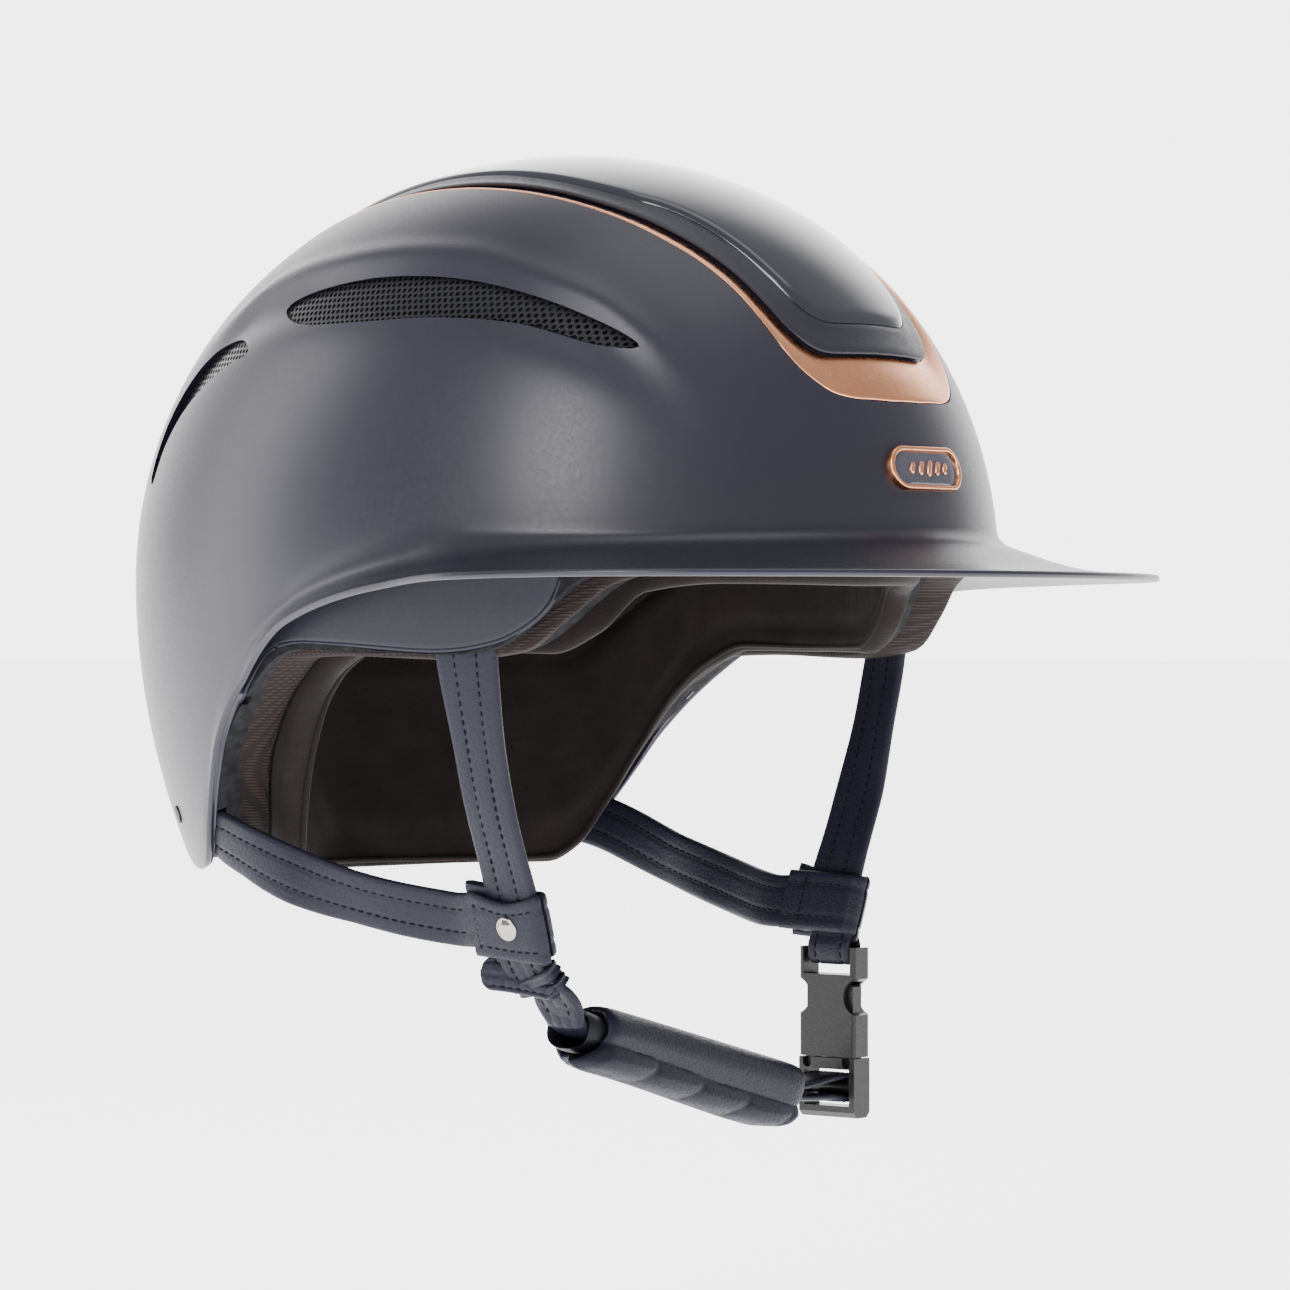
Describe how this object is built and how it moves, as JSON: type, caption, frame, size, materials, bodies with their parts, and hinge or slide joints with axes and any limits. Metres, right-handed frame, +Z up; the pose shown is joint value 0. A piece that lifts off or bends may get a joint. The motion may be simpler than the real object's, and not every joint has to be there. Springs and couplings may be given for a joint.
{
  "type": "equestrian riding helmet",
  "caption": "Peaked riding helmet with ventilated shell, crown strip, padded lining and a four-point harness with chin pad and side-release buckle.",
  "frame": {"origin": "centre of the head opening, in the brim plane", "axes": "+Z up to the crown, -Y to the front of the peak, +X to the wearer's left"},
  "size_m": [0.2518, 0.323, 0.2821],
  "materials": {
    "shell": "satin",
    "gloss_panel": "gloss",
    "matte_panel": "matte",
    "cover_plastic": "matte",
    "rose_gold": "satin",
    "badge_field": "gloss",
    "vent_mesh": "satin",
    "foam": "matte",
    "edge_cloth": "matte",
    "liner_cloth": "matte",
    "fastener": "matte",
    "leather": "satin",
    "snap_metal": "polished",
    "stud_metal": "satin",
    "dark_plastic": "satin",
    "buckle_plastic": "satin"
  },
  "bodies": {
    "helmet": {"outer_shell": "shell", "crown_panel": "gloss_panel", "crown_surround": "matte_panel", "temple_cover_right": "cover_plastic", "temple_cover_left": "cover_plastic", "crown_trim": "rose_gold", "badge_rim": "rose_gold", "badge_plate": "badge_field", "vent_mesh_front_right": "vent_mesh", "vent_mesh_front_left": "vent_mesh", "vent_mesh_rear_right": "vent_mesh", "vent_mesh_rear_left": "vent_mesh", "eps_liner": "foam", "eps_edge_cover": "edge_cloth", "comfort_liner": "liner_cloth", "crown_pad": "liner_cloth", "brow_pad": "liner_cloth", "liner_fasteners": "fastener", "front_strap_right": "leather", "front_strap_left": "leather", "rear_strap_right": "leather", "rear_strap_left": "leather", "strap_loop_right": "leather", "strap_loop_left": "leather", "lower_strap": "leather", "strap_tail": "leather", "strap_keeper": "leather", "snap_studs": "stud_metal", "strap_anchors": "stud_metal", "rear_plugs": "dark_plastic"},
    "buckle_socket_body": {"buckle_socket": "buckle_plastic", "web_loop": "leather"},
    "chin_strap_body": {"chin_strap": "leather", "buckle_plug": "buckle_plastic"},
    "chin_pad_body": {"chin_pad": "leather"},
    "prong_front_body": {"prong_front": "buckle_plastic"},
    "prong_rear_body": {"prong_rear": "buckle_plastic"},
    "flap_right_body": {"snap_flap_right": "leather", "snap_cap_right": "snap_metal"},
    "flap_left_body": {"snap_flap_left": "leather", "snap_cap_left": "snap_metal"}
  },
  "joints": [
    {"name": "chin_strap_swing", "type": "hinge", "parent": "helmet", "child": "chin_strap_body", "pos_m": [-0.058, -0.043, -0.116], "axis": [0, 1, 0], "range_deg": [0, 75]},
    {"name": "buckle_socket_swing", "type": "hinge", "parent": "helmet", "child": "buckle_socket_body", "pos_m": [0.068, -0.043, -0.10615], "axis": [0, 1, 0], "range_deg": [0, 27]},
    {"name": "chin_pad_slide", "type": "slide", "parent": "chin_strap_body", "child": "chin_pad_body", "axis": [0.9713, 0, -0.2381], "range_m": [-0.005, 0.005]},
    {"name": "prong_front_squeeze", "type": "hinge", "parent": "chin_strap_body", "child": "prong_front_body", "pos_m": [0.068, -0.05025, -0.1417], "axis": [-1, 0, 0], "range_deg": [0, 5], "stiffness_Nm_per_rad": 0.4},
    {"name": "prong_rear_squeeze", "type": "hinge", "parent": "chin_strap_body", "child": "prong_rear_body", "pos_m": [0.068, -0.03575, -0.1417], "axis": [1, 0, 0], "range_deg": [0, 5], "stiffness_Nm_per_rad": 0.4},
    {"name": "snap_flap_right_fold", "type": "hinge", "parent": "helmet", "child": "flap_right_body", "pos_m": [-0.07256, -0.05069, -0.09669], "axis": [-0.3089, -0.0317, 0.9506], "range_deg": [0, 95]},
    {"name": "snap_flap_left_fold", "type": "hinge", "parent": "helmet", "child": "flap_left_body", "pos_m": [0.07256, -0.05069, -0.09669], "axis": [-0.3089, 0.0317, -0.9506], "range_deg": [0, 95]}
  ],
  "couplings": [
    {"joint": "buckle_socket_swing", "follows": "chin_strap_swing", "ratio": 0.35}
  ]
}
